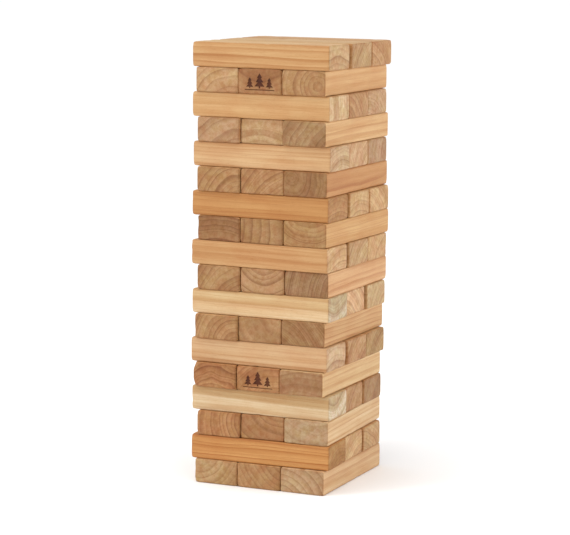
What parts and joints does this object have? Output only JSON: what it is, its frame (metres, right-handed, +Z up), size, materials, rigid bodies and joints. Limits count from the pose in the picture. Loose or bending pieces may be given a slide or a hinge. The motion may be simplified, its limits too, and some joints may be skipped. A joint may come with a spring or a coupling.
{
  "type": "giant tumbling tower",
  "caption": "Free-standing tower of loose timber blocks, laid three to a layer with every layer crossed; blocks slide out along their length.",
  "frame": {"origin": "middle of the underside of the bottom layer's centre block", "axes": "+Z up through the tower; odd layers (counted from the bottom) lie along Y and show block ends at the front, -Y; even layers lie along X"},
  "size_m": [0.2462, 0.2422, 0.6891],
  "materials": {
    "pine_pale": "sanded, unfinished softwood with rounded edges",
    "pine_honey": "sanded, unfinished softwood with rounded edges",
    "pine_peach": "sanded, unfinished softwood with rounded edges",
    "pine_amber": "sanded, unfinished softwood with rounded edges",
    "pine_tan": "sanded, unfinished softwood with rounded edges",
    "pine_russet": "sanded, unfinished softwood with rounded edges"
  },
  "bodies": {
    "layer_01_centre": {"layer_01_centre": "pine_tan"},
    "layer_01_left": {"layer_01_left": "pine_tan"},
    "layer_01_right": {"layer_01_right": "pine_peach"},
    "layer_02_back": {"layer_02_back": "pine_russet"},
    "layer_02_centre": {"layer_02_centre": "pine_tan"},
    "layer_02_front": {"layer_02_front": "pine_amber"},
    "layer_03_centre": {"layer_03_centre": "pine_russet"},
    "layer_03_left": {"layer_03_left": "pine_russet"},
    "layer_03_right": {"layer_03_right": "pine_pale"},
    "layer_04_back": {"layer_04_back": "pine_russet"},
    "layer_04_centre": {"layer_04_centre": "pine_russet"},
    "layer_04_front": {"layer_04_front": "pine_pale"},
    "layer_05_centre": {"layer_05_centre": "pine_russet"},
    "layer_05_left": {"layer_05_left": "pine_russet"},
    "layer_05_right": {"layer_05_right": "pine_pale"},
    "layer_06_back": {"layer_06_back": "pine_tan"},
    "layer_06_centre": {"layer_06_centre": "pine_russet"},
    "layer_06_front": {"layer_06_front": "pine_peach"},
    "layer_07_centre": {"layer_07_centre": "pine_russet"},
    "layer_07_left": {"layer_07_left": "pine_tan"},
    "layer_07_right": {"layer_07_right": "pine_peach"},
    "layer_08_back": {"layer_08_back": "pine_tan"},
    "layer_08_centre": {"layer_08_centre": "pine_peach"},
    "layer_08_front": {"layer_08_front": "pine_pale"},
    "layer_09_centre": {"layer_09_centre": "pine_peach"},
    "layer_09_left": {"layer_09_left": "pine_tan"},
    "layer_09_right": {"layer_09_right": "pine_peach"},
    "layer_10_back": {"layer_10_back": "pine_tan"},
    "layer_10_centre": {"layer_10_centre": "pine_tan"},
    "layer_10_front": {"layer_10_front": "pine_honey"},
    "layer_11_centre": {"layer_11_centre": "pine_tan"},
    "layer_11_left": {"layer_11_left": "pine_russet"},
    "layer_11_right": {"layer_11_right": "pine_honey"},
    "layer_12_back": {"layer_12_back": "pine_honey"},
    "layer_12_centre": {"layer_12_centre": "pine_honey"},
    "layer_12_front": {"layer_12_front": "pine_amber"},
    "layer_13_centre": {"layer_13_centre": "pine_russet"},
    "layer_13_left": {"layer_13_left": "pine_tan"},
    "layer_13_right": {"layer_13_right": "pine_peach"},
    "layer_14_back": {"layer_14_back": "pine_tan"},
    "layer_14_centre": {"layer_14_centre": "pine_peach"},
    "layer_14_front": {"layer_14_front": "pine_honey"},
    "layer_15_centre": {"layer_15_centre": "pine_tan"},
    "layer_15_left": {"layer_15_left": "pine_peach"},
    "layer_15_right": {"layer_15_right": "pine_honey"},
    "layer_16_back": {"layer_16_back": "pine_peach"},
    "layer_16_centre": {"layer_16_centre": "pine_russet"},
    "layer_16_front": {"layer_16_front": "pine_honey"},
    "layer_17_centre": {"layer_17_centre": "pine_russet"},
    "layer_17_left": {"layer_17_left": "pine_tan"},
    "layer_17_right": {"layer_17_right": "pine_honey"},
    "layer_18_back": {"layer_18_back": "pine_russet"},
    "layer_18_centre": {"layer_18_centre": "pine_tan"},
    "layer_18_front": {"layer_18_front": "pine_honey"}
  },
  "joints": [
    {"name": "layer_01_left_slide", "type": "slide", "parent": "layer_01_centre", "child": "layer_01_left", "axis": [0, 1, 0], "range_m": [-0.25, 0.25]},
    {"name": "layer_01_right_slide", "type": "slide", "parent": "layer_01_centre", "child": "layer_01_right", "axis": [0, 1, 0], "range_m": [-0.25, 0.25]},
    {"name": "layer_02_back_slide", "type": "slide", "parent": "layer_01_centre", "child": "layer_02_back", "axis": [0.9997, 0.0262, 0], "range_m": [-0.25, 0.25]},
    {"name": "layer_02_centre_slide", "type": "slide", "parent": "layer_01_centre", "child": "layer_02_centre", "axis": [0.9997, 0.0262, 0], "range_m": [-0.25, 0.25]},
    {"name": "layer_02_front_slide", "type": "slide", "parent": "layer_01_centre", "child": "layer_02_front", "axis": [0.9997, 0.0262, 0], "range_m": [-0.25, 0.25]},
    {"name": "layer_03_centre_slide", "type": "slide", "parent": "layer_01_centre", "child": "layer_03_centre", "axis": [-0.0314, 0.9995, 0], "range_m": [-0.25, 0.25]},
    {"name": "layer_03_left_slide", "type": "slide", "parent": "layer_01_centre", "child": "layer_03_left", "axis": [-0.0314, 0.9995, 0], "range_m": [-0.25, 0.25]},
    {"name": "layer_03_right_slide", "type": "slide", "parent": "layer_01_centre", "child": "layer_03_right", "axis": [-0.0314, 0.9995, 0], "range_m": [-0.25, 0.25]},
    {"name": "layer_04_back_slide", "type": "slide", "parent": "layer_01_centre", "child": "layer_04_back", "axis": [0.9999, 0.014, 0], "range_m": [-0.25, 0.25]},
    {"name": "layer_04_centre_slide", "type": "slide", "parent": "layer_01_centre", "child": "layer_04_centre", "axis": [0.9999, 0.014, 0], "range_m": [-0.25, 0.25]},
    {"name": "layer_04_front_slide", "type": "slide", "parent": "layer_01_centre", "child": "layer_04_front", "axis": [0.9999, 0.014, 0], "range_m": [-0.25, 0.25]},
    {"name": "layer_05_centre_slide", "type": "slide", "parent": "layer_01_centre", "child": "layer_05_centre", "axis": [0.007, 1, 0], "range_m": [-0.25, 0.25]},
    {"name": "layer_05_left_slide", "type": "slide", "parent": "layer_01_centre", "child": "layer_05_left", "axis": [0.007, 1, 0], "range_m": [-0.25, 0.25]},
    {"name": "layer_05_right_slide", "type": "slide", "parent": "layer_01_centre", "child": "layer_05_right", "axis": [0.007, 1, 0], "range_m": [-0.25, 0.25]},
    {"name": "layer_06_back_slide", "type": "slide", "parent": "layer_01_centre", "child": "layer_06_back", "axis": [0.9999, -0.0105, 0], "range_m": [-0.25, 0.25]},
    {"name": "layer_06_centre_slide", "type": "slide", "parent": "layer_01_centre", "child": "layer_06_centre", "axis": [0.9999, -0.0105, 0], "range_m": [-0.25, 0.25]},
    {"name": "layer_06_front_slide", "type": "slide", "parent": "layer_01_centre", "child": "layer_06_front", "axis": [0.9999, -0.0105, 0], "range_m": [-0.25, 0.25]},
    {"name": "layer_07_centre_slide", "type": "slide", "parent": "layer_01_centre", "child": "layer_07_centre", "axis": [0.0087, 1, 0], "range_m": [-0.25, 0.25]},
    {"name": "layer_07_left_slide", "type": "slide", "parent": "layer_01_centre", "child": "layer_07_left", "axis": [0.0087, 1, 0], "range_m": [-0.25, 0.25]},
    {"name": "layer_07_right_slide", "type": "slide", "parent": "layer_01_centre", "child": "layer_07_right", "axis": [0.0087, 1, 0], "range_m": [-0.25, 0.25]},
    {"name": "layer_08_back_slide", "type": "slide", "parent": "layer_01_centre", "child": "layer_08_back", "axis": [1, -0.007, 0], "range_m": [-0.25, 0.25]},
    {"name": "layer_08_centre_slide", "type": "slide", "parent": "layer_01_centre", "child": "layer_08_centre", "axis": [1, -0.007, 0], "range_m": [-0.25, 0.25]},
    {"name": "layer_08_front_slide", "type": "slide", "parent": "layer_01_centre", "child": "layer_08_front", "axis": [1, -0.007, 0], "range_m": [-0.25, 0.25]},
    {"name": "layer_09_centre_slide", "type": "slide", "parent": "layer_01_centre", "child": "layer_09_centre", "axis": [0.0087, 1, 0], "range_m": [-0.25, 0.25]},
    {"name": "layer_09_left_slide", "type": "slide", "parent": "layer_01_centre", "child": "layer_09_left", "axis": [0.0087, 1, 0], "range_m": [-0.25, 0.25]},
    {"name": "layer_09_right_slide", "type": "slide", "parent": "layer_01_centre", "child": "layer_09_right", "axis": [0.0087, 1, 0], "range_m": [-0.25, 0.25]},
    {"name": "layer_10_back_slide", "type": "slide", "parent": "layer_01_centre", "child": "layer_10_back", "axis": [0.9998, -0.0209, 0], "range_m": [-0.25, 0.25]},
    {"name": "layer_10_centre_slide", "type": "slide", "parent": "layer_01_centre", "child": "layer_10_centre", "axis": [0.9998, -0.0209, 0], "range_m": [-0.25, 0.25]},
    {"name": "layer_10_front_slide", "type": "slide", "parent": "layer_01_centre", "child": "layer_10_front", "axis": [0.9998, -0.0209, 0], "range_m": [-0.25, 0.25]},
    {"name": "layer_11_centre_slide", "type": "slide", "parent": "layer_01_centre", "child": "layer_11_centre", "axis": [0.0384, 0.9993, 0], "range_m": [-0.25, 0.25]},
    {"name": "layer_11_left_slide", "type": "slide", "parent": "layer_01_centre", "child": "layer_11_left", "axis": [0.0384, 0.9993, 0], "range_m": [-0.25, 0.25]},
    {"name": "layer_11_right_slide", "type": "slide", "parent": "layer_01_centre", "child": "layer_11_right", "axis": [0.0384, 0.9993, 0], "range_m": [-0.25, 0.25]},
    {"name": "layer_12_back_slide", "type": "slide", "parent": "layer_01_centre", "child": "layer_12_back", "axis": [0.9997, -0.0244, 0], "range_m": [-0.25, 0.25]},
    {"name": "layer_12_centre_slide", "type": "slide", "parent": "layer_01_centre", "child": "layer_12_centre", "axis": [0.9997, -0.0244, 0], "range_m": [-0.25, 0.25]},
    {"name": "layer_12_front_slide", "type": "slide", "parent": "layer_01_centre", "child": "layer_12_front", "axis": [0.9997, -0.0244, 0], "range_m": [-0.25, 0.25]},
    {"name": "layer_13_centre_slide", "type": "slide", "parent": "layer_01_centre", "child": "layer_13_centre", "axis": [0.0227, 0.9997, 0], "range_m": [-0.25, 0.25]},
    {"name": "layer_13_left_slide", "type": "slide", "parent": "layer_01_centre", "child": "layer_13_left", "axis": [0.0227, 0.9997, 0], "range_m": [-0.25, 0.25]},
    {"name": "layer_13_right_slide", "type": "slide", "parent": "layer_01_centre", "child": "layer_13_right", "axis": [0.0227, 0.9997, 0], "range_m": [-0.25, 0.25]},
    {"name": "layer_14_back_slide", "type": "slide", "parent": "layer_01_centre", "child": "layer_14_back", "axis": [0.9998, -0.0175, 0], "range_m": [-0.25, 0.25]},
    {"name": "layer_14_centre_slide", "type": "slide", "parent": "layer_01_centre", "child": "layer_14_centre", "axis": [0.9998, -0.0175, 0], "range_m": [-0.25, 0.25]},
    {"name": "layer_14_front_slide", "type": "slide", "parent": "layer_01_centre", "child": "layer_14_front", "axis": [0.9998, -0.0175, 0], "range_m": [-0.25, 0.25]},
    {"name": "layer_15_centre_slide", "type": "slide", "parent": "layer_01_centre", "child": "layer_15_centre", "axis": [0.0366, 0.9993, 0], "range_m": [-0.25, 0.25]},
    {"name": "layer_15_left_slide", "type": "slide", "parent": "layer_01_centre", "child": "layer_15_left", "axis": [0.0366, 0.9993, 0], "range_m": [-0.25, 0.25]},
    {"name": "layer_15_right_slide", "type": "slide", "parent": "layer_01_centre", "child": "layer_15_right", "axis": [0.0366, 0.9993, 0], "range_m": [-0.25, 0.25]},
    {"name": "layer_16_back_slide", "type": "slide", "parent": "layer_01_centre", "child": "layer_16_back", "axis": [0.9998, -0.0192, 0], "range_m": [-0.25, 0.25]},
    {"name": "layer_16_centre_slide", "type": "slide", "parent": "layer_01_centre", "child": "layer_16_centre", "axis": [0.9998, -0.0192, 0], "range_m": [-0.25, 0.25]},
    {"name": "layer_16_front_slide", "type": "slide", "parent": "layer_01_centre", "child": "layer_16_front", "axis": [0.9998, -0.0192, 0], "range_m": [-0.25, 0.25]},
    {"name": "layer_17_centre_slide", "type": "slide", "parent": "layer_01_centre", "child": "layer_17_centre", "axis": [0.0279, 0.9996, 0], "range_m": [-0.25, 0.25]},
    {"name": "layer_17_left_slide", "type": "slide", "parent": "layer_01_centre", "child": "layer_17_left", "axis": [0.0279, 0.9996, 0], "range_m": [-0.25, 0.25]},
    {"name": "layer_17_right_slide", "type": "slide", "parent": "layer_01_centre", "child": "layer_17_right", "axis": [0.0279, 0.9996, 0], "range_m": [-0.25, 0.25]},
    {"name": "layer_18_back_lift", "type": "slide", "parent": "layer_01_centre", "child": "layer_18_back", "axis": [0, 0, 1], "range_m": [0, 0.08]},
    {"name": "layer_18_centre_lift", "type": "slide", "parent": "layer_01_centre", "child": "layer_18_centre", "axis": [0, 0, 1], "range_m": [0, 0.08]},
    {"name": "layer_18_front_lift", "type": "slide", "parent": "layer_01_centre", "child": "layer_18_front", "axis": [0, 0, 1], "range_m": [0, 0.08]}
  ]
}
